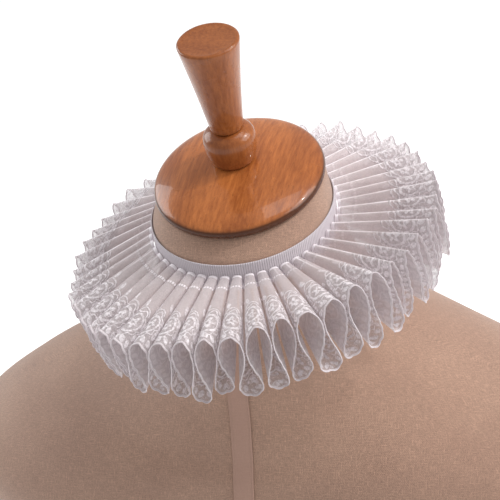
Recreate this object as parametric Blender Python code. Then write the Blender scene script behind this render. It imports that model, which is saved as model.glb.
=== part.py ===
"""Ruff collar of pleated sheer lace on an elastic neck band, worn by a limbless linen dress form.

The form stands on its flat hip end at z = 0 and faces -Y. Its neck carries a wooden cap with a
turned handle. The collar is one long strip, set in figure-of-eight pleats round the band.
"""

import math

import bpy
import numpy as np

# The neck frame has its origin at the middle of the cap, in the plane of the cap's rim.
CAP_HEIGHT = 0.700
CAP_FORWARD = 0.006
NECK_LEAN = math.radians(5.0)

# Wooden cap and handle, measured along the neck.
CAP_HALF_WIDTH = 0.056
DEPTH_TO_WIDTH = 1.078
CAP_UNDERSIDE = -0.0045
CAP_CROWN = 0.0120
CAP_SIDES = 48
FINIAL_SHIFT = (-0.0018, 0.0019)
FINIAL_SIDES = 28
BEAD_HEIGHT = 0.0245
BEAD_RADIUS = 0.0171

# Outline of the bead from its top down, as shares of its radius and of its height.
BEAD_PROFILE = (
    (0.58, 1.00),
    (0.70, 0.97),
    (0.86, 0.90),
    (0.96, 0.80),
    (1.00, 0.67),
    (0.99, 0.50),
    (0.94, 0.30),
    (0.87, 0.10),
    (0.82, 0.03),
    (0.76, 0.00),
)
HANDLE_TOP = 0.1030
HANDLE_TOP_RADIUS = 0.0199
HANDLE_FOOT_RADIUS = 0.0106
HANDLE_TOP_EDGE = 0.0022
HANDLE_FOOT_EDGE = 0.0010
HANDLE_FOOT_RISE = 0.0016
HANDLE_HOLLOW = 0.0002

# Elastic band. It sits level with its own plane, raised a little at the throat.
BAND_TOP = -0.0199
BAND_HEIGHT = 0.0200
BAND_HALF_WIDTH = 0.0605
BAND_WALL = 0.0012
BAND_TILT = math.radians(4.0)
BAND_FORWARD = 0.0064
BAND_SIDES = 64

# Ruffle: reach of its ridges and hollows from the band, and how far each points below the
# band's plane, in degrees, as waves of the angle round the neck. The slack, the shift of the
# pleats and the two tilts make the hand-set pleats differ a little from each other.
PLEATS = 50
RIDGE_REACH = 0.0654
HOLLOW_REACH = 0.0735
STRIP_WALL = 0.0011
HEADING_DEPTH = 0.0118
HEADING_WAVE = 0.0045
HEADING_GAP = 0.0007
RIDGE_DROOP = {"mean": 7.6, "cos": -16.0, "sin": 7.0, "cos2": 1.9, "sin2": 2.6}
HOLLOW_DROOP = {"mean": 32.2, "cos": -12.0, "sin": 0.3, "cos2": 2.8, "sin2": 2.8}
STRIP_SLACK = 0.0011
PLEAT_SHIFT = 0.24
RIDGE_TILT = math.radians(1.2)
HOLLOW_TILT = math.radians(0.8)

# Loops of the pleats: how far the ridges and hollows swell sideways at the heading, half way
# out and at the free edge, how much broader and flatter the ridges are there, and how much
# broader the hollows are.
LOOP_SWELL = {"heading": 1.45, "middle": 1.80, "edge": 1.36}
RIDGE_SWELL = 0.66
RIDGE_FLATNESS = 0.46
HOLLOW_SWELL = 1.00

# The loops stand open round one side of the neck. The two limits are cosines of the angle from
# that side: up to the first the loops are closed, and from the second they are fully open.
OPEN_SIDE = math.radians(262.0)
CLOSED_SHARE = 0.32
CLOSED_UP_TO = 0.15
OPEN_FROM = 0.70

# Grid of the strip's solid: wave angles of the corners in half a pleat, in degrees, and the
# share of the way from the band to the free edge of each line of corners.
HALF_PLEAT = (0.0, 25.0, 52.0, 80.0, 115.0, 150.0)
STRIP_LINES = (0.0, 0.34, 0.68, 1.0)

# Space between pieces that are sewn or set together.
SEAM_GAP = 0.0003
NECK_GAP = 0.0005

# Dress form, as level sections: height and forward shift of the middle, tilt of the section
# (front edge down, degrees), half width, depth before and behind the middle, squareness.
FORM_COLUMNS = ("height", "forward", "tilt", "half_width", "front", "back", "square")
FORM_SECTIONS = (
    (0.636, 0.010, 13.0, 0.0635, 0.0665, 0.0660, 2.00),
    (0.615, 0.010, 17.0, 0.0715, 0.0720, 0.0710, 2.00),
    (0.592, 0.009, 18.0, 0.0785, 0.0790, 0.0780, 2.05),
    (0.570, 0.007, 14.0, 0.1005, 0.0870, 0.0850, 2.10),
    (0.549, 0.005, 10.0, 0.1315, 0.0950, 0.0920, 2.20),
    (0.530, 0.004, 6.0, 0.1700, 0.1030, 0.0970, 2.30),
    (0.509, 0.003, 3.0, 0.2100, 0.1100, 0.1010, 2.35),
    (0.480, 0.002, 0.0, 0.2475, 0.1180, 0.1040, 2.35),
    (0.445, 0.001, 0.0, 0.2480, 0.1250, 0.1050, 2.30),
    (0.405, 0.000, 0.0, 0.2270, 0.1270, 0.1020, 2.20),
    (0.362, 0.000, 0.0, 0.1970, 0.1190, 0.0980, 2.15),
    (0.315, 0.000, 0.0, 0.1650, 0.1080, 0.0940, 2.10),
    (0.265, 0.000, 0.0, 0.1480, 0.1010, 0.0930, 2.10),
    (0.210, 0.000, 0.0, 0.1500, 0.1040, 0.1010, 2.10),
    (0.145, 0.000, 0.0, 0.1680, 0.1110, 0.1150, 2.15),
    (0.080, 0.000, 0.0, 0.1790, 0.1160, 0.1230, 2.20),
    (0.000, 0.000, 0.0, 0.1780, 0.1130, 0.1190, 2.20),
)
FORM_SIDES = 48
FORM_STEPS = 2

TAPE_HALF_WIDTH = 0.007
TAPE_WALL = 0.0010
TAPE_GAP = 0.0006


def clear_scene():
    for obj in list(bpy.data.objects):
        bpy.data.objects.remove(obj, do_unlink=True)


def material(name, colour, roughness):
    mat = bpy.data.materials.new(name)
    mat.use_nodes = True
    shader = mat.node_tree.nodes["Principled BSDF"]
    shader.inputs["Base Color"].default_value = (*colour, 1.0)
    shader.inputs["Roughness"].default_value = roughness
    return mat


def add_mesh(name, points, faces, mat):
    """One named object from points in metres and lists of corner numbers."""
    mesh = bpy.data.meshes.new(name)
    mesh.from_pydata([tuple(p) for p in points], [], [tuple(f) for f in faces])
    mesh.update()
    mesh.shade_smooth()
    mesh.materials.append(mat)
    obj = bpy.data.objects.new(name, mesh)
    bpy.context.scene.collection.objects.link(obj)
    return obj


def from_neck(points):
    """Neck frame to world: the neck leans towards the throat."""
    x, y, z = np.moveaxis(np.asarray(points, float), -1, 0)
    lean, rise = math.sin(NECK_LEAN), math.cos(NECK_LEAN)
    return np.stack([x, y * rise - z * lean - CAP_FORWARD, y * lean + z * rise + CAP_HEIGHT], -1)


def from_band(points):
    """Frame of the band's top edge to world."""
    x, y, z = np.moveaxis(np.asarray(points, float), -1, 0)
    tilt, level = math.sin(BAND_TILT), math.cos(BAND_TILT)
    y, z = y * level + z * tilt, z * level - y * tilt
    return from_neck(np.stack([x, y - BAND_FORWARD, z + BAND_TOP], -1))


def loft(name, rings, mat):
    """A closed solid over equal rings of points, given from the top down, with flat ends."""
    rings = np.asarray(rings)
    count, sides = rings.shape[:2]
    faces = [tuple(range(sides)), tuple(reversed(range((count - 1) * sides, count * sides)))]
    for row in range(count - 1):
        top, low = row * sides, (row + 1) * sides
        for i in range(sides):
            j = (i + 1) % sides
            faces.append((top + j, top + i, low + i, low + j))
    return add_mesh(name, rings.reshape(-1, 3), faces, mat)


def turned_rings(profile, sides, width=1.0, depth=1.0, shift=(0.0, 0.0)):
    """Rings of a turned piece in the neck frame, from (radius, height) pairs, top first."""
    turn = np.linspace(0.0, 2.0 * math.pi, sides, endpoint=False)
    return [
        np.stack(
            [
                radius * width * np.cos(turn) + shift[0],
                radius * depth * np.sin(turn) + shift[1],
                np.full(sides, height),
            ],
            -1,
        )
        for radius, height in profile
    ]


def smooth_rows(rows, steps):
    """Rows of a table with smooth in-between rows, through every given one."""
    rows = np.asarray(rows, float)
    ends = np.vstack([2 * rows[0] - rows[1], rows, 2 * rows[-1] - rows[-2]])
    filled = []
    for i in range(1, len(ends) - 2):
        before, start, stop, after = ends[i - 1 : i + 3]
        for step in range(steps):
            t = step / steps
            filled.append(
                0.5
                * (
                    2 * start
                    + (stop - before) * t
                    + (2 * before - 5 * start + 4 * stop - after) * t**2
                    + (3 * start - before - 3 * stop + after) * t**3
                )
            )
    filled.append(rows[-1])
    return np.array(filled)


# Neck and torso of the form: one linen-covered body.


def neck_rings():
    """Neck from its rounded upper edge under the cap down to the lower edge of the band."""
    turn = np.linspace(0.0, 2.0 * math.pi, FORM_SIDES, endpoint=False)
    unit = np.stack([np.cos(turn), DEPTH_TO_WIDTH * np.sin(turn), np.zeros(FORM_SIDES)], -1)
    snug = unit * (BAND_HALF_WIDTH - BAND_WALL - NECK_GAP)
    edge, top = [
        from_neck(unit * (CAP_HALF_WIDTH - inset) + [0.0, 0.0, CAP_UNDERSIDE - drop])
        for inset, drop in ((0.0027, SEAM_GAP), (0.0012, 0.0015))
    ]
    banded = [from_band(snug - [0.0, 0.0, share * BAND_HEIGHT]) for share in (0.05, 0.5, 1.0)]
    return [edge, top, 0.5 * (top + banded[0]), *banded]


def torso_rings():
    """Level sections from below the band to the hip, rounded between oval and square."""
    turn = np.linspace(0.0, 2.0 * math.pi, FORM_SIDES, endpoint=False)
    side, fore = np.cos(turn), np.sin(turn)
    rings = []
    for row in smooth_rows(FORM_SECTIONS, FORM_STEPS):
        at = dict(zip(FORM_COLUMNS, row))
        power = 2.0 / at["square"]
        x = at["half_width"] * np.sign(side) * np.abs(side) ** power
        y = np.where(fore < 0.0, at["front"], at["back"]) * np.sign(fore) * np.abs(fore) ** power
        slope = math.tan(math.radians(at["tilt"]))
        rings.append(np.stack([x, y - at["forward"], at["height"] + y * slope], -1))
    return rings


def build_form():
    torso = torso_rings()
    loft("form_torso", neck_rings() + torso, material("linen", (0.45, 0.33, 0.22), 0.9))
    build_tape(torso[:-1], material("linen_tape", (0.50, 0.38, 0.27), 0.9))


def build_tape(rings, mat):
    """Centre-front tape, laid on the form from under the collar to the hip."""
    front = FORM_SIDES * 3 // 4
    outline = []
    for ring in rings:
        middle, left, right = ring[front], ring[front - 1], ring[front + 1]
        share = TAPE_HALF_WIDTH / (right[0] - middle[0])
        outline.append(
            [middle + share * (left - middle), middle, middle + share * (right - middle)]
        )
    outline = np.array(outline)
    along = np.gradient(outline[:, 1], axis=0)
    normal = np.cross(along, [1.0, 0.0, 0.0])
    normal /= np.linalg.norm(normal, axis=1)[:, None]
    normal *= np.sign(-normal[:, 1])[:, None]
    near = outline + normal[:, None] * TAPE_GAP
    far = outline + normal[:, None] * (TAPE_GAP + TAPE_WALL)
    loft("front_tape", np.concatenate([near, far[:, ::-1]], axis=1)[:, ::-1], mat)


# Wooden neck cap, bead and handle.


def build_cap():
    """Round cap with a slightly domed top, turned from (share of its radius, height) pairs."""
    wood = material("varnished_wood", (0.55, 0.24, 0.07), 0.3)
    profile = (
        (0.012, CAP_CROWN),
        (0.300, CAP_CROWN - 0.0006),
        (0.520, CAP_CROWN - 0.0022),
        (0.720, CAP_CROWN - 0.0046),
        (0.880, CAP_CROWN - 0.0076),
        (0.960, 0.0027),
        (0.993, 0.0010),
        (1.000, -0.0006),
        (0.994, -0.0024),
        (0.970, -0.0038),
        (0.930, CAP_UNDERSIDE),
    )
    rings = turned_rings(profile, CAP_SIDES, CAP_HALF_WIDTH, CAP_HALF_WIDTH * DEPTH_TO_WIDTH)
    loft("neck_cap", from_neck(rings), wood)


def build_finial():
    wood = material("handle_wood", (0.60, 0.28, 0.09), 0.3)
    base = CAP_CROWN + SEAM_GAP
    bead = [(radius * BEAD_RADIUS, base + share * BEAD_HEIGHT) for radius, share in BEAD_PROFILE]
    rings = turned_rings(bead, FINIAL_SIDES, shift=FINIAL_SHIFT)
    loft("finial_bead", from_neck(rings), wood)

    foot = base + BEAD_HEIGHT + SEAM_GAP
    edge = HANDLE_TOP_EDGE
    half_way = 0.5 * (HANDLE_TOP_RADIUS + HANDLE_FOOT_RADIUS) - HANDLE_HOLLOW
    handle = (
        (HANDLE_TOP_RADIUS - edge, HANDLE_TOP),
        (HANDLE_TOP_RADIUS - 0.3 * edge, HANDLE_TOP - 0.3 * edge),
        (HANDLE_TOP_RADIUS, HANDLE_TOP - edge),
        (half_way, 0.5 * (HANDLE_TOP + foot)),
        (HANDLE_FOOT_RADIUS, foot + HANDLE_FOOT_RISE),
        (HANDLE_FOOT_RADIUS - HANDLE_FOOT_EDGE, foot),
    )
    rings = turned_rings(handle, FINIAL_SIDES, shift=FINIAL_SHIFT)
    loft("finial_handle", from_neck(rings), wood)


# Elastic band: a closed ring wall round the neck.


def build_band():
    elastic = material("white_elastic", (0.80, 0.80, 0.82), 0.8)
    sides = BAND_SIDES
    turn = np.linspace(0.0, 2.0 * math.pi, sides, endpoint=False)
    unit = np.stack([np.cos(turn), DEPTH_TO_WIDTH * np.sin(turn), np.zeros(sides)], -1)
    outer = BAND_HALF_WIDTH
    inner = BAND_HALF_WIDTH - BAND_WALL
    corners = (
        (inner, 0.0),
        (outer, 0.0),
        (outer, -BAND_HEIGHT),
        (inner, -BAND_HEIGHT),
    )
    rings = [from_band(unit * radius + [0.0, 0.0, height]) for radius, height in corners]
    faces = []
    for row in range(len(corners)):
        here, there = row * sides, (row + 1) % len(corners) * sides
        for i in range(sides):
            j = (i + 1) % sides
            faces.append((here + j, here + i, there + i, there + j))
    add_mesh("neck_band", np.concatenate(rings), faces, elastic)


# Ruffle: one strip of lace. A point of it is named by its wave angle along the strip and by
# its reach across the strip, from 0 at the band to 1 at the free edge.


def droop(angles, turn):
    """How far below the band's plane a line of the strip points, in radians."""
    wave = (
        angles["mean"]
        + angles["cos"] * np.cos(turn)
        + angles["sin"] * np.sin(turn)
        + angles["cos2"] * np.cos(2 * turn)
        + angles["sin2"] * np.sin(2 * turn)
    )
    return np.radians(wave)


def opening(turn):
    """Share to which the loops stand open at an angle round the neck."""
    share = (np.cos(turn - OPEN_SIDE) - CLOSED_UP_TO) / (OPEN_FROM - CLOSED_UP_TO)
    share = np.clip(share, 0.0, 1.0)
    return CLOSED_SHARE + (1.0 - CLOSED_SHARE) * share**2 * (3.0 - 2.0 * share)


def strip_length(wave):
    """Reach of the whole strip from the band at a wave angle, with some slack in its setting."""
    turn, height = wave / PLEATS, np.cos(wave)
    slack = STRIP_SLACK * (np.sin(19 * turn + 0.7) + np.sin(31 * turn))
    return 0.5 * (RIDGE_REACH + HOLLOW_REACH + (RIDGE_REACH - HOLLOW_REACH) * height) + slack


def strip_point(wave, reach):
    """World points of the strip's middle surface for arrays of wave angle and reach."""
    heading, middle, edge = LOOP_SWELL.values()
    loops = heading * (1 - reach) * (1 - 2 * reach) + 4 * middle * reach * (1 - reach)
    loops = loops + edge * reach * (2 * reach - 1)
    ridges = RIDGE_SWELL * reach**2 * (np.sin(wave) - RIDGE_FLATNESS * np.sin(3 * wave))
    hollows = HOLLOW_SWELL * reach**2 * np.sin(wave) * (0.5 - 0.5 * np.cos(wave)) ** 2
    swell = loops * np.sin(2 * wave) + ridges - hollows
    turn = (wave + swell * opening(wave / PLEATS)) / PLEATS
    uneven = np.sin(7 * turn + 0.6) + np.sin(11 * turn + 2.1) + np.sin(17 * turn + 4.0)
    turn = turn + PLEAT_SHIFT * reach * uneven / PLEATS
    height = np.cos(wave)
    ridge, hollow = droop(RIDGE_DROOP, turn), droop(HOLLOW_DROOP, turn)
    angle = 0.5 * (ridge + hollow) + 0.5 * (ridge - hollow) * height
    angle = angle + RIDGE_TILT * np.sin(13 * turn + 1.0) * height
    angle = angle + HOLLOW_TILT * np.sin(29 * turn + 2.0) * (1.0 - height)
    start = BAND_HALF_WIDTH + HEADING_GAP
    length = reach * strip_length(wave)
    out = length * np.cos(angle)
    x = (start + out) * np.cos(turn)
    y = (start * DEPTH_TO_WIDTH + out) * np.sin(turn)
    z = HEADING_WAVE * height - HEADING_DEPTH - length * np.sin(angle)
    return from_band(np.stack([x, y, z], -1))


def strip_normal(wave, reach):
    step = 1e-3
    along = strip_point(wave + step, reach) - strip_point(wave - step, reach)
    across = strip_point(wave, reach + step) - strip_point(wave, reach - step)
    normal = np.cross(along, across)
    return normal / np.linalg.norm(normal, axis=-1, keepdims=True)


def build_ruffle():
    """The strip as one closed wall: its upper face out from the band, then its lower face back."""
    lace = material("sheer_lace", (0.78, 0.78, 0.82), 0.7)
    half = np.radians(HALF_PLEAT)
    pleat = np.concatenate([half, [math.pi], 2.0 * math.pi - half[:0:-1]])
    wave = (2.0 * math.pi * np.arange(PLEATS)[:, None] + pleat).ravel()
    upper, lower = [], []
    for reach in STRIP_LINES:
        at = np.full(len(wave), reach)
        middle, normal = strip_point(wave, at), strip_normal(wave, at)
        upper.append(middle + 0.5 * STRIP_WALL * normal)
        lower.append(middle - 0.5 * STRIP_WALL * normal)
    loop = upper + lower[::-1]
    sides = len(wave)
    faces = []
    for row in range(len(loop)):
        here, there = row * sides, (row + 1) % len(loop) * sides
        for i in range(sides):
            j = (i + 1) % sides
            faces.append((here + i, here + j, there + j, there + i))
    add_mesh("ruffle", np.concatenate(loop), faces, lace)


clear_scene()
build_form()
build_cap()
build_finial()
build_band()
build_ruffle()
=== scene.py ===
import math

import bpy
import numpy as np
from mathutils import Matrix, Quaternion, Vector


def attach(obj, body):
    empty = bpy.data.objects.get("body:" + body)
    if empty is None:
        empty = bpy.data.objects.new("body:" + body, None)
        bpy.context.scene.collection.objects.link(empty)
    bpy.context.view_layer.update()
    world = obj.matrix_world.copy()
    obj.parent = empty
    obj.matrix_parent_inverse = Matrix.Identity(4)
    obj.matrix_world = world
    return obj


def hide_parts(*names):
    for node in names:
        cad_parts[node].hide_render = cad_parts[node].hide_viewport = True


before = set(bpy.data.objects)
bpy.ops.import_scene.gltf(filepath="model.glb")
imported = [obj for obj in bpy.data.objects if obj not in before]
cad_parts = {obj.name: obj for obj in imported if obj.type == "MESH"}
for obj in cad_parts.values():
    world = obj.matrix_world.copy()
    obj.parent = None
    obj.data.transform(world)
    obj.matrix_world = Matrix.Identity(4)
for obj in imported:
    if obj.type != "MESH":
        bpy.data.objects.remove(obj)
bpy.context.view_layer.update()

# Camera: it stands above the front of the collar and to the viewer's right of it, with a long
# lens. The picture is turned a little, so the form leans to the left in it.
camera_stand = Vector((0.2891, -0.8004, 1.2337))
camera_aim = Vector((0.0074, -0.0322, 0.6587))
camera_roll = math.radians(-10.55)
lens = bpy.data.cameras.new("camera")
lens.lens = 111.1
lens.sensor_width = 36.0
lens.clip_start = 0.02
camera = bpy.data.objects.new("camera", lens)
camera.location = camera_stand
camera.rotation_mode = "QUATERNION"
camera.rotation_quaternion = (camera_aim - camera_stand).to_track_quat("-Z", "Y") @ Quaternion(
    (0.0, 0.0, 1.0), camera_roll
)
bpy.context.scene.collection.objects.link(camera)
bpy.context.scene.camera = camera


# Studio: a plain pale floor under the form, a large soft light on the form's own left, weaker
# ones above it and on its right, and a small bright lamp that glints on the varnish, under a dim
# white sky.
def fill_sockets(tree, node, sockets):
    """Sets each named socket to a value, or feeds it from another node's output."""
    for name, value in sockets.items():
        if isinstance(value, bpy.types.NodeSocket):
            tree.links.new(value, node.inputs[name])
        else:
            node.inputs[name].default_value = value


def add(tree, kind, settings=None, sockets=None):
    """A shader node with its settings and its sockets."""
    node = tree.nodes.new("ShaderNode" + kind)
    for name, value in (settings or {}).items():
        setattr(node, name, value)
    fill_sockets(tree, node, sockets or {})
    return node


def finish_of(name):
    """A new material, its node tree and its surface shader."""
    made = bpy.data.materials.new(name)
    made.use_nodes = True
    return made, made.node_tree, made.node_tree.nodes["Principled BSDF"]


def join(tree, output, socket):
    tree.links.new(output, socket)


def soft_light(name, stand, aim, width, watts, colour):
    lamp = bpy.data.lights.new(name, "AREA")
    lamp.shape = "SQUARE"
    lamp.size = width
    lamp.energy = watts
    lamp.color = colour
    obj = bpy.data.objects.new(name, lamp)
    obj.location = stand
    obj.rotation_mode = "QUATERNION"
    obj.rotation_quaternion = (Vector(aim) - Vector(stand)).to_track_quat("-Z", "Y")
    bpy.context.scene.collection.objects.link(obj)


collar_middle = (0.0, -0.01, 0.66)
warm_white = (1.0, 0.985, 0.97)
cool_white = (0.98, 0.99, 1.0)
soft_light("light_right", (1.45, 0.32, 1.60), collar_middle, 1.2, 17.0, warm_white)
soft_light("light_above", (0.55, 0.35, 2.40), collar_middle, 0.8, 6.0, warm_white)
soft_light("light_left", (-1.45, 0.50, 1.25), collar_middle, 1.0, 12.5, cool_white)
soft_light("small_lamp", (1.05, 0.40, 1.80), collar_middle, 0.07, 6.5, warm_white)

world = bpy.data.worlds.new("studio")
world.use_nodes = True
sky = world.node_tree.nodes["Background"]
sky.inputs["Color"].default_value = (1.0, 1.0, 1.0, 1.0)
sky.inputs["Strength"].default_value = 0.48
bpy.context.scene.world = world
bpy.context.scene.view_settings.view_transform = "Standard"

floor_reach = 12.0
floor_mesh = bpy.data.meshes.new("floor")
floor_mesh.from_pydata(
    [(x * floor_reach, y * floor_reach, 0.0) for x, y in ((-1, -1), (1, -1), (1, 1), (-1, 1))],
    [],
    [(0, 1, 2, 3)],
)
floor = bpy.data.objects.new("floor", floor_mesh)
bpy.context.scene.collection.objects.link(floor)
floor_finish, floor_nodes, floor_shader = finish_of("pale_floor")
floor_grain = add(floor_nodes, "TexNoise", sockets={"Scale": 40.0, "Detail": 3.0}).outputs[0]
floor_tone = {"Value": floor_grain, "To Min": 0.42, "To Max": 0.5}
floor_tone = add(floor_nodes, "MapRange", sockets=floor_tone).outputs[0]
join(floor_nodes, floor_tone, floor_shader.inputs["Roughness"])
floor_shader.inputs["Base Color"].default_value = (0.93, 0.93, 0.93, 1.0)
floor_shader.inputs["Emission Color"].default_value = (1.0, 1.0, 1.0, 1.0)
floor_shader.inputs["Emission Strength"].default_value = 0.42
floor_mesh.materials.append(floor_finish)


# Linen cover: beige plain-weave linen, cut in panels, pulled tight over the form's neck and
# torso and glued. It has a seam at each side and at the middle of the back.
neck_top = Vector((0.0, -0.006, 0.700))
neck_lean = math.radians(5.0)
neck_round = 1.078
band_drop = 0.0199
band_forward = 0.0064
band_tilt = math.radians(4.0)
band_half_width = 0.0605
band_height = 0.0200
cap_half_width = 0.0560
cap_underside = -0.0045
neck_inset = 0.0017
rolled_edge = ((0.0027, 0.0003), (0.0012, 0.0015))
cover_lift = 0.0002
cover_sides = 208
cover_steps = 9
front_share = 0.75
side_line = 0.004
cover_columns = ("height", "forward", "tilt", "half_width", "front", "back", "square")
cover_sections = (
    (0.636, 0.010, 13.0, 0.0635, 0.0665, 0.0660, 2.00),
    (0.615, 0.010, 17.0, 0.0715, 0.0720, 0.0710, 2.00),
    (0.592, 0.009, 18.0, 0.0785, 0.0790, 0.0780, 2.05),
    (0.570, 0.007, 14.0, 0.1005, 0.0870, 0.0850, 2.10),
    (0.549, 0.005, 10.0, 0.1315, 0.0950, 0.0920, 2.20),
    (0.530, 0.004, 6.0, 0.1700, 0.1030, 0.0970, 2.30),
    (0.509, 0.003, 3.0, 0.2100, 0.1100, 0.1010, 2.35),
    (0.480, 0.002, 0.0, 0.2475, 0.1180, 0.1040, 2.35),
    (0.445, 0.001, 0.0, 0.2480, 0.1250, 0.1050, 2.30),
    (0.405, 0.000, 0.0, 0.2270, 0.1270, 0.1020, 2.20),
    (0.362, 0.000, 0.0, 0.1970, 0.1190, 0.0980, 2.15),
    (0.315, 0.000, 0.0, 0.1650, 0.1080, 0.0940, 2.10),
    (0.265, 0.000, 0.0, 0.1480, 0.1010, 0.0930, 2.10),
    (0.210, 0.000, 0.0, 0.1500, 0.1040, 0.1010, 2.10),
    (0.145, 0.000, 0.0, 0.1680, 0.1110, 0.1150, 2.15),
    (0.080, 0.000, 0.0, 0.1790, 0.1160, 0.1230, 2.20),
    (0.000, 0.000, 0.0, 0.1780, 0.1130, 0.1190, 2.20),
)


def from_neck(points):
    """Neck frame, with its origin in the cap's rim plane, to the part's frame."""
    x, y, z = np.moveaxis(np.asarray(points, float), -1, 0)
    lean, rise = math.sin(neck_lean), math.cos(neck_lean)
    return np.stack(
        [x + neck_top.x, y * rise - z * lean + neck_top.y, y * lean + z * rise + neck_top.z], -1
    )


def from_band(points):
    """Frame of the elastic band's top edge to the part's frame."""
    x, y, z = np.moveaxis(np.asarray(points, float), -1, 0)
    tilt, level = math.sin(band_tilt), math.cos(band_tilt)
    y, z = y * level + z * tilt, z * level - y * tilt
    return from_neck(np.stack([x, y - band_forward, z - band_drop], -1))


def round_the_neck(sides):
    """Points of an oval one unit wide each way, deeper than it is wide, as the neck is."""
    turn = np.linspace(0.0, 2.0 * math.pi, sides, endpoint=False)
    return np.stack([np.cos(turn), neck_round * np.sin(turn), np.zeros(sides)], -1)


def smooth_rows(rows, steps):
    """Rows of a table with smooth in-between rows, through every given one."""
    rows = np.asarray(rows, float)
    ends = np.concatenate([[2 * rows[0] - rows[1]], rows, [2 * rows[-1] - rows[-2]]])
    filled = []
    for i in range(1, len(ends) - 2):
        before, start, stop, after = ends[i - 1 : i + 3]
        for t in np.arange(steps) / steps:
            square = (2 * before - 5 * start + 4 * stop - after) * t**2
            cube = (3 * start - before - 3 * stop + after) * t**3
            filled.append(0.5 * (2 * start + (stop - before) * t + square + cube))
    filled.append(rows[-1])
    return np.array(filled)


def surface(name, rows, uv_maps=(), ring=True, ends=()):
    """A mesh over rows of points, each row a ring or an open line, with its UV maps in metres.

    A UV map has one column more than a ring, for the corner where the ring closes. ends names
    the rows, 0 or -1, that are closed with a flat face.
    """
    rows = np.asarray(rows)
    count, wide = rows.shape[:2]
    spans = wide if ring else wide - 1
    here = np.arange(count - 1)[:, None] * wide + np.arange(spans)
    there = np.arange(count - 1)[:, None] * wide + (np.arange(spans) + 1) % wide
    quads = np.stack([here, here + wide, there + wide, there], -1).reshape(-1, 4)
    faces = [tuple(quad) for quad in quads.tolist()]
    if 0 in ends:
        faces.append(tuple(range(wide)))
    if -1 in ends:
        faces.append(tuple(reversed(range((count - 1) * wide, count * wide))))
    mesh = bpy.data.meshes.new(name)
    mesh.from_pydata(rows.reshape(-1, 3).tolist(), [], faces)
    mesh.update()
    mesh.shade_smooth()
    for label, flat in uv_maps:
        flat = np.asarray(flat)
        corners = np.stack([flat[:-1, :-1], flat[1:, :-1], flat[1:, 1:], flat[:-1, 1:]], 2)
        corners = corners[:, :spans].reshape(-1, 2)
        layer = mesh.uv_layers.new(name=label)
        values = np.zeros((len(mesh.loops), 2))
        values[: len(corners)] = corners
        layer.data.foreach_set("uv", values.ravel())
    obj = bpy.data.objects.new(name, mesh)
    bpy.context.scene.collection.objects.link(obj)
    return obj


def lengths(points, along, closed=False):
    """Distance run along one axis of a grid of points, starting from 0."""
    points = np.moveaxis(np.asarray(points), along, 0)
    if closed:
        points = np.concatenate([points, points[:1]])
    steps = np.linalg.norm(np.diff(points, axis=0), axis=-1)
    run = np.concatenate([np.zeros((1,) + steps.shape[1:]), np.cumsum(steps, axis=0)])
    return np.moveaxis(run, 0, along)


def straight_grain(rows):
    """UV in metres of the cover's panels: the threads run straight down and straight across.

    Near each side the cloth turns, over a share of the half width, and runs on front to back.
    """
    turns_from, turns_over, depth_share, slope_share = 0.80, 0.15, 0.66, 0.75
    x, y, z = np.moveaxis(np.concatenate([rows, rows[:, :1]], 1), -1, 0)
    wide, deep = np.abs(x).max(1, keepdims=True), np.abs(y).max(1, keepdims=True)
    turned_side = np.clip((np.abs(x) / wide - turns_from) / turns_over, 0.0, 1.0)
    across = x + np.sign(x) * (depth_share * deep - np.abs(y)) * turned_side
    return np.stack([across, slope_share * np.abs(y - side_line) - z], -1)


def neck_rows():
    """Neck of the form, from under the cap to the lower edge of the band."""
    oval = round_the_neck(cover_sides)
    snug = oval * (band_half_width - neck_inset)
    edge, top = [
        from_neck(oval * (cap_half_width - inset) + [0.0, 0.0, cap_underside - drop])
        for inset, drop in rolled_edge
    ]
    banded = [from_band(snug - [0.0, 0.0, share * band_height]) for share in (0.05, 0.5, 1.0)]
    return [edge, top, 0.5 * (top + banded[0]), *banded]


turn = np.linspace(0.0, 2.0 * math.pi, cover_sides, endpoint=False)
side, fore = np.cos(turn), np.sin(turn)
coarse = neck_rows()
for section in cover_sections:
    at = dict(zip(cover_columns, section))
    power = 2.0 / at["square"]
    x = at["half_width"] * np.sign(side) * np.abs(side) ** power
    y = np.where(fore < 0.0, at["front"], at["back"]) * np.sign(fore) * np.abs(fore) ** power
    slope = math.tan(math.radians(at["tilt"]))
    coarse.append(np.stack([x, y - at["forward"], at["height"] + y * slope], -1))
cover_rows = smooth_rows(coarse, cover_steps)
outward = np.cross(
    np.roll(cover_rows, -1, 1) - np.roll(cover_rows, 1, 1), np.gradient(cover_rows, axis=0)
)
outward = -outward / np.linalg.norm(outward, axis=-1, keepdims=True)

# Soft creases pressed into the cloth by handling: where each lies, how it runs from level in
# degrees, its length, its width and its depth. They lie on the front and on the back alike,
# each bows a little, and the cloth rises beside it by a share of its depth.
crease_columns = ("x", "z", "side", "runs", "length", "width", "depth")
creases = (
    (0.150, 0.505, -1, -14.0, 0.034, 0.0050, 0.00045),
    (0.105, 0.470, -1, 8.0, 0.026, 0.0045, 0.00030),
    (0.070, 0.440, -1, -30.0, 0.018, 0.0040, 0.00030),
    (-0.135, 0.490, -1, 20.0, 0.030, 0.0055, 0.00035),
    (-0.060, 0.505, -1, -10.0, 0.024, 0.0050, 0.00025),
    (-0.110, 0.380, -1, 35.0, 0.030, 0.0060, 0.00035),
    (0.120, 0.300, -1, -8.0, 0.040, 0.0065, 0.00040),
    (-0.090, 0.255, -1, 5.0, 0.045, 0.0065, 0.00040),
    (0.130, 0.470, 1, 16.0, 0.032, 0.0055, 0.00040),
    (-0.120, 0.500, 1, -18.0, 0.034, 0.0055, 0.00040),
    (-0.050, 0.410, 1, 10.0, 0.026, 0.0050, 0.00030),
    (0.060, 0.290, 1, -6.0, 0.044, 0.0060, 0.00040),
    (-0.100, 0.270, 1, 12.0, 0.036, 0.0060, 0.00035),
)
crease_bow = 0.12
crease_rise = 0.6
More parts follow.
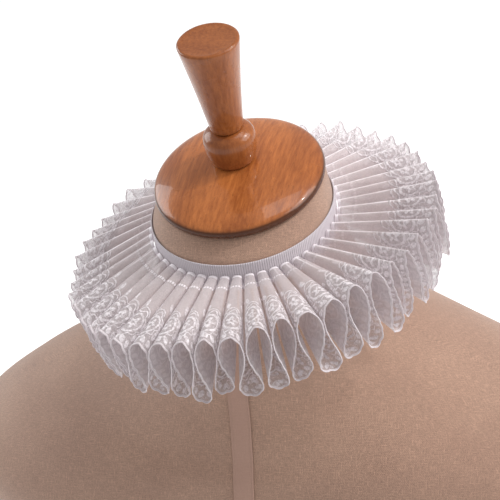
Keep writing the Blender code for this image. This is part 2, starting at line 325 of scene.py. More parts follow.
lift = np.full(cover_rows.shape[:2], cover_lift)
for crease in creases:
    at = dict(zip(crease_columns, crease))
    runs = math.radians(at["runs"])
    across, up = cover_rows[..., 0] - at["x"], cover_rows[..., 2] - at["z"]
    along = across * math.cos(runs) + up * math.sin(runs)
    off = up * math.cos(runs) - across * math.sin(runs)
    off = off - crease_bow * along**2 / at["length"]
    same_side = cover_rows[..., 1] * at["side"] > 0.0
    fades = np.exp(-2.0 * (along / at["length"]) ** 2) * same_side
    beside = crease_rise * np.exp(-(((off - at["width"]) / at["width"]) ** 2))
    lift += at["depth"] * fades * (beside - np.exp(-((off / at["width"]) ** 2)))
cover_rows = cover_rows + outward * lift[..., None]
linen_cover = surface("linen_cover", cover_rows, [("linen_flat", straight_grain(cover_rows))])


def group(name, inputs, outputs):
    """A node group with named inputs and outputs: its tree and its two ends."""
    tree = bpy.data.node_groups.new(name, "ShaderNodeTree")
    for label, kind, value in inputs:
        socket = tree.interface.new_socket(label, in_out="INPUT", socket_type="NodeSocket" + kind)
        if value is not None:
            socket.default_value = value
    for label, kind in outputs:
        tree.interface.new_socket(label, in_out="OUTPUT", socket_type="NodeSocket" + kind)
    return tree, tree.nodes.new("NodeGroupInput").outputs, tree.nodes.new("NodeGroupOutput").inputs


def place(tree, effect, sockets):
    """A node group set into a material, with its own values."""
    node = tree.nodes.new("ShaderNodeGroup")
    node.node_tree = effect
    fill_sockets(tree, node, sockets)
    return node.outputs


def maths(tree, operation, *terms):
    return add(tree, "Math", {"operation": operation}, dict(enumerate(terms))).outputs[0]


def times(tree, first, second):
    return maths(tree, "MULTIPLY", first, second)


def apart(tree, length, centre=0.0):
    """How far a length is from a centre, either way."""
    return maths(tree, "ABSOLUTE", maths(tree, "SUBTRACT", length, centre))


def either(tree, *masks):
    found = masks[0]
    for mask in masks[1:]:
        found = maths(tree, "MAXIMUM", found, mask)
    return found


def ranged(tree, value, low, high, start=0.0, stop=1.0, smooth=False):
    """A value carried from one range into another."""
    settings = {"interpolation_type": "SMOOTHSTEP"} if smooth else {}
    sockets = {"Value": value, "From Min": low, "From Max": high, "To Min": start, "To Max": stop}
    return add(tree, "MapRange", settings, sockets).outputs[0]


def line_at(tree, length, centre, inner, outer):
    """A line along a centre, whole up to the inner distance from it and gone at the outer."""
    return ranged(tree, apart(tree, length, centre), inner, outer, 1.0, 0.0)


def ridged(tree, length, spacing):
    """A wave over a length, up on one thread or rib and down on the next."""
    return maths(tree, "SINE", maths(tree, "DIVIDE", times(tree, length, math.pi), spacing))


def mixed(tree, share, first, second, way="MIX"):
    """Two colours mixed by a share from 0 to 1."""
    node = add(tree, "Mix", {"data_type": "RGBA", "blend_type": way}, {0: share, 6: first, 7: second})
    return node.outputs[2]


def axes_of(tree, vector):
    return add(tree, "SeparateXYZ", sockets={0: vector}).outputs


def place_on(tree):
    """Where a point of the piece lies, in metres."""
    return add(tree, "TexCoord").outputs["Object"]


def laid_flat(tree, uv_map):
    """Where a point lies on the cloth when it is laid flat, in metres."""
    return add(tree, "UVMap", {"uv_map": uv_map}).outputs[0]


def stretched(tree, vector, scale):
    return add(tree, "Mapping", sockets={"Vector": vector, "Scale": scale}).outputs[0]


def noise(tree, vector, scale, detail=2.0, roughness=0.5):
    sockets = {"Vector": vector, "Scale": scale, "Detail": detail, "Roughness": roughness}
    return add(tree, "TexNoise", sockets=sockets).outputs[0]


def tint(tree, shader, colour, roughness):
    """A colour and a roughness that change over the surface, led to its shader."""
    join(tree, colour, shader.inputs["Base Color"])
    join(tree, roughness, shader.inputs["Roughness"])


def raise_relief(tree, shader, height, strength, distance):
    """Fine relief in a material, where a height over the surface moves its shading normal."""
    bump = add(tree, "Bump", sockets={"Height": height, "Strength": strength, "Distance": distance})
    join(tree, bump.outputs[0], shader.inputs["Normal"])


# Plain weave: threads of a named width that cross over and under, with thick and thin lengths
# and loose fibres.
weave, weave_in, weave_out = group(
    "plain_weave",
    [("Vector", "Vector", None), ("Thread", "Float", 0.0006), ("Slubs", "Float", 0.5)],
    [("Shade", "Float"), ("Height", "Float")],
)
weave_flat, thread_width = weave_in["Vector"], weave_in["Thread"]
warp, weft = [ridged(weave, axis, thread_width) for axis in list(axes_of(weave, weave_flat))[:2]]
threads = maths(weave, "MULTIPLY_ADD", times(weave, warp, weft), 0.5, 0.5)
slubs_across, slubs_along, fibres = 1500.0, 150.0, 950.0
long_way = noise(weave, stretched(weave, weave_flat, (slubs_across, slubs_along, 1.0)), 1.0, 3.0)
cross_way = noise(weave, stretched(weave, weave_flat, (slubs_along, slubs_across, 1.0)), 1.0, 3.0)
slubs = either(weave, ranged(weave, long_way, 0.50, 0.74), ranged(weave, cross_way, 0.50, 0.74))
slubbed = times(weave, slubs, weave_in["Slubs"])
uneven = maths(weave, "ADD", times(weave, long_way, 0.3), times(weave, cross_way, 0.3))
fibre = ranged(weave, noise(weave, weave_flat, fibres, 2.0, 0.6), 0.30, 0.70)
uneven = maths(weave, "MULTIPLY_ADD", fibre, 0.55, uneven)
thread_share, uneven_share, slub_share = 0.25, 0.5, 0.45
uneven = times(weave, uneven, uneven_share)
even_shade = maths(weave, "MULTIPLY_ADD", threads, thread_share, uneven)
shade = maths(weave, "MULTIPLY_ADD", slubbed, slub_share, even_shade)
join(weave, shade, weave_out["Shade"])
join(weave, maths(weave, "ADD", threads, slubbed), weave_out["Height"])

# Mottle: broad soft patches of darker and lighter tone, from handling, light and age.
mottle, mottle_in, mottle_out = group(
    "soft_mottle",
    [("Vector", "Vector", None), ("Patches per metre", "Float", 12.0)],
    [("Share", "Float")],
)
broad = noise(mottle, mottle_in["Vector"], mottle_in["Patches per metre"], 4.0, 0.6)
join(mottle, ranged(mottle, broad, 0.3, 0.7, smooth=True), mottle_out["Share"])

linen_dark, linen_light = (0.366, 0.216, 0.152, 1.0), (0.434, 0.264, 0.186, 1.0)
linen, linen_nodes, linen_shader = finish_of("beige_linen")
linen_flat = laid_flat(linen_nodes, "linen_flat")
linen_place = place_on(linen_nodes)
linen_weave = place(linen_nodes, weave, {"Vector": linen_flat, "Thread": 0.00062, "Slubs": 0.45})
linen_patches = place(linen_nodes, mottle, {"Vector": linen_place, "Patches per metre": 9.0})
linen_tone = mixed(linen_nodes, linen_patches["Share"], linen_dark, linen_light)
linen_thread = ranged(linen_nodes, linen_weave["Shade"], 0.15, 0.75, 0.54, 1.40)
linen_thread = add(linen_nodes, "CombineXYZ", sockets=dict.fromkeys((0, 1, 2), linen_thread))
linen_colour = mixed(linen_nodes, 1.0, linen_tone, linen_thread.outputs[0], "MULTIPLY")

# Seams of the cover: a sewn groove down each side from under the arm, and one down the middle
# of the back.
seam_shadow = (0.22, 0.14, 0.10, 1.0)
seam_inner, seam_outer = 0.0007, 0.0016
arm_low, arm_high = 0.455, 0.470
linen_axes = axes_of(linen_nodes, linen_place)
behind = ranged(linen_nodes, linen_axes[1], 0.02, 0.04)
back_seam = line_at(linen_nodes, linen_axes[0], 0.0, seam_inner, seam_outer)
back_seam = times(linen_nodes, back_seam, behind)
below_arm = ranged(linen_nodes, linen_axes[2], arm_low, arm_high, 1.0, 0.0)
at_sides = ranged(linen_nodes, apart(linen_nodes, linen_axes[0]), 0.05, 0.08)
side_seam = line_at(linen_nodes, linen_axes[1], side_line, seam_inner, seam_outer)
side_seam = times(linen_nodes, times(linen_nodes, side_seam, below_arm), at_sides)
seams = either(linen_nodes, back_seam, side_seam)
linen_colour = mixed(linen_nodes, times(linen_nodes, seams, 0.22), linen_colour, seam_shadow)
linen_rough = ranged(linen_nodes, linen_weave["Shade"], 0.0, 1.0, 0.82, 0.95)
tint(linen_nodes, linen_shader, linen_colour, linen_rough)
linen_relief = times(linen_nodes, linen_weave["Height"], 0.35)
linen_relief = maths(linen_nodes, "SUBTRACT", linen_relief, times(linen_nodes, seams, 1.6))
raise_relief(linen_nodes, linen_shader, linen_relief, strength=0.55, distance=0.0004)
linen_shader.inputs["Sheen Weight"].default_value = 0.32
linen_shader.inputs["Sheen Roughness"].default_value = 0.6
linen_cover.data.materials.append(linen)
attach(linen_cover, "root")
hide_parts("form_torso")

# Base board: the flat board that closes the form's hip end and carries it. The cover's lower
# edge is turned over its rim.
board_inner = ((0.994, 0.0030), (0.997, 0.0006), (0.990, 0.0000))
board_rows = np.stack(
    [cover_rows[-1] * [share, share, 1.0] + [0.0, 0.0, height] for share, height in board_inner]
)
base_board = surface("base_board", board_rows, ends=(0, -1))
board_dark, board_light = (0.27, 0.22, 0.18, 1.0), (0.36, 0.30, 0.25, 1.0)
board, board_nodes, board_shader = finish_of("grey_board")
board_place = place_on(board_nodes)
board_patches = place(board_nodes, mottle, {"Vector": board_place, "Patches per metre": 60.0})
board_colour = mixed(board_nodes, board_patches["Share"], board_dark, board_light)
join(board_nodes, board_colour, board_shader.inputs["Base Color"])
raise_relief(board_nodes, board_shader, board_patches["Share"], strength=0.3, distance=0.0005)
board_shader.inputs["Roughness"].default_value = 0.9
base_board.data.materials.append(board)
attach(base_board, "root")

# Front tape: a narrow woven linen tape that marks the middle of the front, laid on the cover
# and stitched down along both edges.
tape_half_width = 0.0070
tape_lift = 0.0005
tape_wall = 0.0006
tape_from_row = 5.6
front_column = int(front_share * cover_sides)
tape_start = int(tape_from_row * cover_steps)
tape_line = cover_rows[tape_start:-cover_steps, front_column]
tape_out = outward[tape_start:-cover_steps, front_column]
tape_edge = ((1.00, 0.0), (1.00, 0.7), (0.93, 1.0), (0.80, 0.8), (0.67, 1.0))
tape_profile = [(-out, up) for out, up in tape_edge] + [(0.00, 1.0), *reversed(tape_edge)]
tape_rows = np.stack(
    [
        tape_line + [share * tape_half_width, 0.0, 0.0] + tape_out * (tape_lift + height * tape_wall)
        for share, height in tape_profile
    ],
    1,
)
tape_down = lengths(tape_rows, 0)[:, len(tape_profile) // 2]
tape_across = np.array([share * tape_half_width for share, _ in tape_profile])
tape_flat = np.stack(np.broadcast_arrays(tape_across, tape_down[:, None]), -1)
front_tape = surface("centre_tape", tape_rows, [("tape_flat", tape_flat)], ring=False)
tape_dark, tape_light = (0.415, 0.256, 0.198, 1.0), (0.485, 0.304, 0.236, 1.0)
tape_thread = (0.30, 0.18, 0.13, 1.0)
stitches_out = 0.0056
stitch_inner, stitch_outer = 0.0003, 0.0007
stitch_length = 0.0028
tape, tape_nodes, tape_shader = finish_of("linen_tape")
tape_uv = laid_flat(tape_nodes, "tape_flat")
tape_weave = place(tape_nodes, weave, {"Vector": tape_uv, "Thread": 0.0005, "Slubs": 0.5})
tape_axes = axes_of(tape_nodes, tape_uv)
off_tape_middle = apart(tape_nodes, tape_axes[0])
tape_stitches = line_at(tape_nodes, off_tape_middle, stitches_out, stitch_inner, stitch_outer)
stitch_gap = maths(tape_nodes, "FRACT", maths(tape_nodes, "DIVIDE", tape_axes[1], stitch_length))
stitch_gap = ranged(tape_nodes, stitch_gap, 0.62, 0.72, 1.0, 0.25)
tape_stitches = times(tape_nodes, tape_stitches, stitch_gap)
tape_tone = ranged(tape_nodes, tape_weave["Shade"], 0.2, 0.8)
tape_tone = mixed(tape_nodes, tape_tone, tape_dark, tape_light)
tape_colour = mixed(tape_nodes, times(tape_nodes, tape_stitches, 0.07), tape_tone, tape_thread)
tape_rough = ranged(tape_nodes, tape_weave["Shade"], 0.0, 1.0, 0.8, 0.92)
tint(tape_nodes, tape_shader, tape_colour, tape_rough)
tape_relief = times(tape_nodes, tape_weave["Height"], 0.35)
tape_relief = maths(tape_nodes, "SUBTRACT", tape_relief, tape_stitches)
raise_relief(tape_nodes, tape_shader, tape_relief, strength=0.5, distance=0.0003)
front_tape.data.materials.append(tape)
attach(front_tape, "root")
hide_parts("front_tape")


# Neck cap: a slightly oval board of varnished beech, turned with a domed top and a rounded rim,
# screwed down on the neck. The grain runs from front to back.
def turned(profile, sides, wide=1.0, deep=1.0, shift=(0.0, 0.0)):
    """Rings of a turned piece in the neck frame, from (radius, height) pairs, top first."""
    turn = np.linspace(0.0, 2.0 * math.pi, sides, endpoint=False)
    radius, height = np.array(profile).T[:, :, None]
    x = radius * wide * np.cos(turn) + shift[0]
    y = radius * deep * np.sin(turn) + shift[1]
    return np.stack([x, y, np.broadcast_to(height, x.shape)], -1)


grain, grain_in, grain_out = group(
    "wood_grain",
    [("Vector", "Vector", None), ("Lines per metre", "Float", 260.0), ("Figure", "Float", 0.5)],
    [("Tone", "Float"), ("Pores", "Float")],
)
lines_per_metre, finer = grain_in["Lines per metre"], 2.6
sway, sway_by, figures_per_metre = 9.0, (0.012, 0.012, 0.012), 38.0
wander = {"Vector": grain_in["Vector"], "Scale": sway, "Detail": 2.0}
wander = add(grain, "TexNoise", sockets=wander).outputs["Color"]
bent = {0: wander, 1: sway_by, 2: grain_in["Vector"]}
bent = add(grain, "VectorMath", {"operation": "MULTIPLY_ADD"}, bent).outputs[0]
lines = noise(grain, bent, lines_per_metre, 3.0, 0.6)
fine = noise(grain, bent, times(grain, lines_per_metre, finer), 2.0, 0.6)
figure = noise(grain, bent, figures_per_metre, 3.0, 0.55)
streaks = maths(grain, "ADD", times(grain, lines, 0.55), times(grain, fine, 0.25))
streaks = times(grain, streaks, 0.8)
join(grain, maths(grain, "MULTIPLY_ADD", figure, grain_in["Figure"], streaks), grain_out["Tone"])
join(grain, ranged(grain, fine, 0.60, 0.72), grain_out["Pores"])


def wood_finish(name, along, dark, light, rim_shade):
    """Varnished wood whose grain runs the way that the vector is pressed together.

    The last argument is the share of painted shade, a darker colour where faces turn from the neck.
    """
    made, nodes, shader = finish_of(name)
    wood_place = place_on(nodes)
    pressed = stretched(nodes, wood_place, along)
    tone = place(nodes, grain, {"Vector": pressed, "Lines per metre": 520.0, "Figure": 0.45})
    patches = place(nodes, mottle, {"Vector": wood_place, "Patches per metre": 30.0})
    colour = mixed(nodes, ranged(nodes, tone["Tone"], 0.41, 0.71), dark, light)
    pore_colour, rim_shade_colour = [[share * c for c in dark[:3]] + [1.0] for share in (0.5, 0.25)]
    colour = mixed(nodes, times(nodes, tone["Pores"], 0.60), colour, pore_colour)
    faces = add(nodes, "NewGeometry").outputs["Normal"]
    upright = (0.0, -math.sin(neck_lean), math.cos(neck_lean))
    facing = add(nodes, "VectorMath", {"operation": "DOT_PRODUCT"}, {0: faces, 1: upright})
    # Painted shade: darker colour where the face turns away from the neck's direction.
    painted_rim_shade = ranged(nodes, facing.outputs["Value"], 0.50, 0.90, rim_shade, 0.0, smooth=True)
    colour = mixed(nodes, painted_rim_shade, colour, rim_shade_colour)
    tint(nodes, shader, colour, ranged(nodes, patches["Share"], 0.0, 1.0, 0.24, 0.34))
    raise_relief(nodes, shader, tone["Tone"], strength=0.12, distance=0.0003)
    shader.inputs["Specular IOR Level"].default_value = 0.25
    shader.inputs["Coat Weight"].default_value = 0.45
    shader.inputs["Coat Roughness"].default_value = 0.04
    shader.inputs["Coat IOR"].default_value = 1.45
    return made


cap_crown = 0.0120
cap_sides = 176
cap_profile = (
    (0.004, cap_crown),
    (0.150, cap_crown),
    (0.300, cap_crown - 0.0006),
    (0.420, cap_crown - 0.0013),
    (0.520, cap_crown - 0.0022),
    (0.620, cap_crown - 0.0033),
    (0.720, cap_crown - 0.0046),
    (0.800, cap_crown - 0.0058),
    (0.880, cap_crown - 0.0074),
    (0.930, cap_crown - 0.0086),
    (0.962, 0.0023),
    (0.982, 0.0014),
    (0.994, 0.0004),
    (1.000, -0.0008),
    (1.000, -0.0016),
    (0.996, -0.0026),
    (0.986, -0.0034),
    (0.970, -0.0040),
    (0.945, cap_underside),
)
neck_cap = surface(
    "wooden_cap",
    from_neck(turned(cap_profile, cap_sides, cap_half_width, cap_half_width * neck_round)),
    ends=(0, -1),
)
cap_dark, cap_light = (0.290, 0.080, 0.020, 1.0), (0.590, 0.195, 0.052, 1.0)
# The cap's rim and underside get painted shade.
cap_wood = wood_finish("varnished_cap_wood", (1.0, 0.10, 0.5), cap_dark, cap_light, 0.95)
neck_cap.data.materials.append(cap_wood)
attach(neck_cap, "root")
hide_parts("neck_cap")

# Handle: a turned bead and, on it, a grip that widens upwards. Both are varnished beech with the
# grain along them, glued on one dowel that stands in the cap.
finial_shift = (-0.0018, 0.0019)
finial_sides = 112
finial_gap = 0.0003
bead_height = 0.0245
bead_radius = 0.0171
bead_foot = cap_crown + finial_gap
bead_profile = (
    (0.20, 1.000),
    (0.58, 1.000),
    (0.66, 0.985),
    (0.74, 0.958),
    (0.86, 0.900),
    (0.93, 0.850),
    (0.975, 0.780),
    (1.00, 0.680),
    (1.00, 0.580),
    (0.985, 0.460),
    (0.955, 0.330),
    (0.915, 0.210),
    (0.875, 0.110),
    (0.845, 0.050),
    (0.800, 0.010),
    (0.740, 0.000),
)
bead_rings = [(radius * bead_radius, bead_foot + share * bead_height) for radius, share in bead_profile]
finial_bead = surface(
    "turned_bead", from_neck(turned(bead_rings, finial_sides, shift=finial_shift)), ends=(0, -1)
)
handle_top = 0.1030
handle_top_radius = 0.0199
handle_foot_radius = 0.0106
handle_waist = 0.0004
handle_foot = bead_foot + bead_height + finial_gap
handle_top_edge = (
    (0.0004, -0.0004),
    (0.0140, -0.0004),
    (0.0170, -0.0002),
    (0.0181, 0.0),
    (0.0190, -0.0003),
    (0.0196, -0.0009),
)
handle_foot_edge = ((-0.0002, 0.0008), (-0.0009, 0.0))
handle_shares = np.linspace(0.97, 0.03, 13)
handle_rings = [(radius, handle_top + rise) for radius, rise in handle_top_edge]
for share in handle_shares:
    radius = handle_foot_radius + (handle_top_radius - handle_foot_radius) * share
    radius -= handle_waist * math.sin(math.pi * share)
    handle_rings.append((radius, handle_foot + (handle_top - handle_foot) * share))
handle_rings += [(handle_foot_radius + out, handle_foot + rise) for out, rise in handle_foot_edge]
finial_handle = surface(
    "turned_handle", from_neck(turned(handle_rings, finial_sides, shift=finial_shift)), ends=(0, -1)
)
handle_dark, handle_light = (0.215, 0.057, 0.014, 1.0), (0.430, 0.140, 0.038, 1.0)
handle_wood = wood_finish("varnished_handle_wood", (1.0, 1.0, 0.09), handle_dark, handle_light, 0.0)
for piece, node in ((finial_bead, "finial_bead"), (finial_handle, "finial_handle")):
    piece.data.materials.append(handle_wood)
    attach(piece, "root")
    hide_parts(node)

# Neck band: white ribbed elastic, knitted as a closed ring and pulled snug round the neck. The
# ruffle is sewn to the lower part of its outer face.
band_wall = 0.0012
band_sides = 256
band_profile = (
    (-band_wall, -0.0010),
    (-0.8 * band_wall, -0.0002),
    (-0.5 * band_wall, 0.0),
    (-0.2 * band_wall, -0.0002),
    (0.0, -0.0008),
    (0.0, -0.0040),
    (0.0, -0.0090),
    (0.0, -0.0150),
    (0.0, 0.0008 - band_height),
    (-0.2 * band_wall, 0.0002 - band_height),
    (-0.8 * band_wall, 0.0002 - band_height),
)


def flat_map(rows):
    """UV in metres of rings: distance round at each ring, and distance down the front."""
    round_run = lengths(rows, 1, closed=True)
    round_run = round_run - round_run[:, -1:] * front_share
    down = lengths(rows, 0)[:, int(front_share * rows.shape[1])]
    return np.stack(np.broadcast_arrays(round_run, down[:, None]), -1)


band_oval = round_the_neck(band_sides)
band_rows = np.stack(
    [from_band(band_oval * (band_half_width + out) + [0.0, 0.0, up]) for out, up in band_profile]
)
neck_band = surface("elastic_band", band_rows, [("band_flat", flat_map(band_rows))])
rib_spacing, knit_spacing = 0.0015, 0.0009
shaded_groove_white, rib_white = (0.510, 0.462, 0.492, 1.0), (0.675, 0.618, 0.668, 1.0)
worn_white = (0.63, 0.575, 0.605, 1.0)
elastic, elastic_nodes, elastic_shader = finish_of("ribbed_elastic")
elastic_axes = axes_of(elastic_nodes, laid_flat(elastic_nodes, "band_flat"))
ribs = ridged(elastic_nodes, elastic_axes[0], 0.5 * rib_spacing)
ribs = maths(elastic_nodes, "MULTIPLY_ADD", ribs, 0.5, 0.5)
knit_rows = ridged(elastic_nodes, elastic_axes[1], 0.5 * knit_spacing)
knit = maths(elastic_nodes, "MULTIPLY_ADD", knit_rows, 0.12, ribs)
elastic_place = place_on(elastic_nodes)
elastic_patches = place(elastic_nodes, mottle, {"Vector": elastic_place, "Patches per metre": 45.0})
# The grooves between the ribs are coloured darker: painted shade.
elastic_tone = mixed(elastic_nodes, ribs, shaded_groove_white, rib_white)
worn = times(elastic_nodes, elastic_patches["Share"], 0.3)
elastic_tone = mixed(elastic_nodes, worn, elastic_tone, worn_white)
elastic_rough = ranged(elastic_nodes, ribs, 0.0, 1.0, 0.75, 0.6)
tint(elastic_nodes, elastic_shader, elastic_tone, elastic_rough)
raise_relief(elastic_nodes, elastic_shader, knit, strength=0.6, distance=0.0004)
neck_band.data.materials.append(elastic)
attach(neck_band, "root")
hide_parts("neck_band")

# Ruffle: one long strip of sheer white net lace, set in figure-of-eight pleats and sewn to the
# band along its gathered edge. Flowers and leaves are embroidered along its free half, and a
# satin-stitched cord finishes the free edge.
pleats = 50
ridge_reach = 0.0654
hollow_reach = 0.0735
heading_depth = 0.0118
heading_wave = 0.0045
heading_gap = 0.0007
loop_swell = {"heading": 1.55, "middle": 1.92, "edge": 1.40}
ridge_swell = 0.72
ridge_flatness = 0.46
hollow_swell = 1.15
open_side = math.radians(262.0)
closed_share = 0.30
closed_up_to = 0.15
opens_over = 0.55
crest_sharpness = 0.11
round_hollows = 0.70
strip_slack = 0.0011
pleat_shift = 0.24
ridge_tilt = math.radians(1.2)
hollow_tilt = math.radians(0.8)
ridge_droop = {"mean": 7.6, "cos": -16.0, "sin": 7.0, "cos2": 1.9, "sin2": 2.6}
hollow_droop = {"mean": 32.2, "cos": -12.0, "sin": 0.3, "cos2": 2.8, "sin2": 2.8}
columns_per_pleat = 96
scallop_width = 0.0074
scallop_depth = 0.0009
scallops_fade = 6
lace_rows = 15


def droop(angles, turn):
    """How far below the band's plane a line of the strip points, in radians."""
    return np.radians(
        angles["mean"]
        + angles["cos"] * np.cos(turn)
        + angles["sin"] * np.sin(turn)
        + angles["cos2"] * np.cos(2 * turn)
        + angles["sin2"] * np.sin(2 * turn)
    )


def opening(turn):
    """Share to which the loops stand open at an angle round the neck."""
    share = np.clip((np.cos(turn - open_side) - closed_up_to) / opens_over, 0.0, 1.0)
    return closed_share + (1.0 - closed_share) * share**2 * (3.0 - 2.0 * share)


def strip_length(wave):
    """Reach of the whole strip from the band at a wave angle, with some slack in its setting."""
    turn, height = wave / pleats, np.cos(wave)
    slack = strip_slack * (np.sin(19 * turn + 0.7) + np.sin(31 * turn))
    return 0.5 * (ridge_reach + hollow_reach + (ridge_reach - hollow_reach) * height) + slack


def strip_point(wave, reach):
    """Points of the strip for wave angle along it and reach across it, 0 at the band.

    The pleats are figure-of-eight loops. Where they stand open each ridge swells until it
    meets the next one, and each hollow is pinched at its top and round at the bottom. Where
    they are shut the ridges end in sharp crests, and the hollows stay round.
    """
    heading, middle, edge = loop_swell.values()
    in_hollow = 0.5 - 0.5 * np.cos(wave)
    loops = heading * (1 - reach) * (1 - 2 * reach) + 4 * middle * reach * (1 - reach)
    loops = loops + edge * reach * (2 * reach - 1)
    ridges = ridge_swell * reach**2 * (np.sin(wave) - ridge_flatness * np.sin(3 * wave))
    hollows = hollow_swell * reach**2 * np.sin(wave) * in_hollow**2
    share_open = opening(wave / pleats)
    shut = (1.0 - share_open) / (1.0 - closed_share)
    swell = (loops * np.sin(2 * wave) + ridges) * share_open
    swell = swell - hollows * np.maximum(share_open, round_hollows)
    turn = (wave + swell) / pleats
    uneven = np.sin(7 * turn + 0.6) + np.sin(11 * turn + 2.1) + np.sin(17 * turn + 4.0)
    turn = turn + pleat_shift * reach * uneven / pleats
    sharp = crest_sharpness * reach * shut * (1.0 - in_hollow)
    height = (np.cos(wave) + sharp * np.cos(3 * wave)) / (1.0 + sharp)
    ridge, hollow = droop(ridge_droop, turn), droop(hollow_droop, turn)
    loose = ridge_tilt * np.sin(13 * turn + 1.0) * height
    loose = loose + hollow_tilt * np.sin(29 * turn + 2.0) * (1.0 - height)
    angle = 0.5 * (ridge + hollow) + 0.5 * (ridge - hollow) * height + loose
    start = band_half_width + heading_gap
    length = reach * strip_length(wave)
    out = length * np.cos(angle)
    x = (start + out) * np.cos(turn)
    y = (start * neck_round + out) * np.sin(turn)
    z = heading_wave * height - heading_depth - length * np.sin(angle)
    return from_band(np.stack([x, y, z], -1))


def strip_frame(wave, reach):
    """Directions across the strip and out of its face."""
    step = 1e-3
    along = strip_point(wave + step, reach) - strip_point(wave - step, reach)
    across = strip_point(wave, reach + step) - strip_point(wave, reach - step)
    along /= np.linalg.norm(along, axis=-1, keepdims=True)
    across /= np.linalg.norm(across, axis=-1, keepdims=True)
    face = np.cross(along, across)
    return across, face / np.linalg.norm(face, axis=-1, keepdims=True)


wave = np.linspace(-math.pi, (2 * pleats - 1) * math.pi, pleats * columns_per_pleat, endpoint=False)
edge_run = lengths(strip_point(wave, np.ones_like(wave)), 0, closed=True)
scallop = np.abs(np.sin(math.pi * edge_run[:-1] / scallop_width))
scallop = scallop_depth * scallop / strip_length(wave)
share_out = np.linspace(0.0, 1.0, lace_rows)[:, None]
drawn_in = share_out**scallops_fade * (scallop - scallop_depth / strip_length(wave))
reach = share_out * (1.0 + drawn_in)
lace_points = strip_point(np.broadcast_to(wave, reach.shape), reach)


def strip_map(points, across):
    """UV in metres: distance along each row from the nearest ridge, and distance across."""
    run = lengths(points, 1, closed=True)
    crests = (np.arange(pleats) + 0.5) * columns_per_pleat
    middle = np.repeat(run[:, crests.astype(int)], columns_per_pleat, 1)
    middle = np.concatenate([middle, middle[:, -1:]], 1)
    return np.stack([run - middle, np.concatenate([across, across[:, :1]], 1)], -1)


def pleat_corners(flat):
    """Corner values of the quads of a strip map, the last corner of a pleat kept with it."""
    left, right = flat[:, :-1], flat[:, 1:].copy()
    last = np.arange(columns_per_pleat - 1, left.shape[1], columns_per_pleat)
    before = flat[:, last]
    right[:, last, 0] = before[..., 0] + (before[..., 0] - flat[:, last - 1, 0])
    return left, right


free_edge = strip_map(lace_points, (1.0 - share_out) * strip_length(wave))
from_heading = strip_map(lace_points, share_out * strip_length(wave))
lace_ruffle = surface("lace_ruffle", lace_points)
for label, flat in (("free_edge", free_edge), ("heading", from_heading)):
    left, right = pleat_corners(flat)
    corners = np.stack([left[:-1], left[1:], right[1:], right[:-1]], 2)
    layer = lace_ruffle.data.uv_layers.new(name=label)
    layer.data.foreach_set("uv", corners.reshape(-1))


def repeat(tree, value, period, shift=0.0):
    """A length that starts again each period, measured from the middle of its repeat."""
    turns = maths(tree, "ADD", maths(tree, "DIVIDE", value, period), 0.5 + shift)
    return times(tree, maths(tree, "SUBTRACT", maths(tree, "FRACT", turns), 0.5), period)


def from_oval(tree, x, y, centre, size, lean=0.0):
    """Distance from an oval's centre in radii: 1 on its outline. Sizes in millimetres."""
    cos, sin = math.cos(math.radians(lean)), math.sin(math.radians(lean))
    dx, dy = maths(tree, "SUBTRACT", x, centre[0]), maths(tree, "SUBTRACT", y, centre[1])
    a = maths(tree, "MULTIPLY_ADD", dx, cos / size[0], times(tree, dy, sin / size[0]))
    b = maths(tree, "MULTIPLY_ADD", dy, cos / size[1], times(tree, dx, -sin / size[1]))
    return maths(tree, "SQRT", maths(tree, "ADD", times(tree, a, a), times(tree, b, b)))


def filled(tree, distance, edge=1.0, soft=0.12):
    return ranged(tree, distance, edge - soft, edge + soft, 1.0, 0.0, smooth=True)


def outlined(tree, distance, edge, half_line):
    off = apart(tree, distance, edge)
    return ranged(tree, off, 0.6 * half_line, 1.4 * half_line, 1.0, 0.0, smooth=True)


# Embroidery: satin-stitched flowers in oval rings, with sprays of leaves between them, a row of
# slanted leaves at the free edge, scrolls over all of that belt, and single buds further in.
# Its lengths are in millimetres, along the free edge and in from it.
flower_repeat = 20.5
flower_in = 17.0
flower_size = (6.0, 8.0)
spray_leaves = (
    {"centre": (0.0, 12.5), "size": (2.0, 4.6)},
    {"centre": (-2.5, 20.5), "size": (1.6, 4.2), "lean": 24.0},
    {"centre": (2.5, 20.5), "size": (1.6, 4.2), "lean": -24.0},
    {"centre": (0.0, 27.0), "size": (1.4, 2.4)},
)
edge_leaf = {"centre": (0.0, 4.4), "size": (1.7, 2.9), "lean": 34.0}
arch_oval = {"centre": (0.0, 26.5), "size": (5.0, 4.4)}
bud = {"centre": (0.0, 34.0), "size": (1.4, 3.1), "lean": 12.0}
belt_thins, belt_ends = 26.0, 30.0
scroll_scale, scroll_turns = 0.26, 34.0
sewn, sewn_in, sewn_out = group(
    "embroidery",
    [("Along", "Float", 0.0), ("In", "Float", 0.0), ("Scroll start", "Float", 0.0)],
    [("Stitched", "Float"), ("Buds", "Float"), ("Belt", "Float")],
)
along, inwards = sewn_in["Along"], sewn_in["In"]
across_flower = repeat(sewn, along, flower_repeat)
across_spray = repeat(sewn, along, flower_repeat, 0.5)
across_leaf = repeat(sewn, along, flower_repeat / 4.0)
across_bud = repeat(sewn, along, flower_repeat / 2.0, 0.3)

flower = from_oval(sewn, across_flower, inwards, (0.0, flower_in), flower_size)
flower_ring = outlined(sewn, flower, 0.94, 0.13)
petal_turn = maths(sewn, "ARCTAN2", maths(sewn, "SUBTRACT", inwards, flower_in), across_flower)
petal_wave = maths(sewn, "COSINE", times(sewn, petal_turn, 5.0))
petal_edge = maths(sewn, "MULTIPLY_ADD", petal_wave, 0.17, 0.50)
petals = filled(sewn, maths(sewn, "DIVIDE", flower, petal_edge), 1.0, 0.2)
petals = maths(sewn, "SUBTRACT", petals, filled(sewn, flower, 0.13, 0.05))
outer_wave = maths(sewn, "COSINE", times(sewn, petal_turn, 9.0))
outer_petals = outlined(sewn, maths(sewn, "MULTIPLY_ADD", outer_wave, -0.14, flower), 1.32, 0.08)

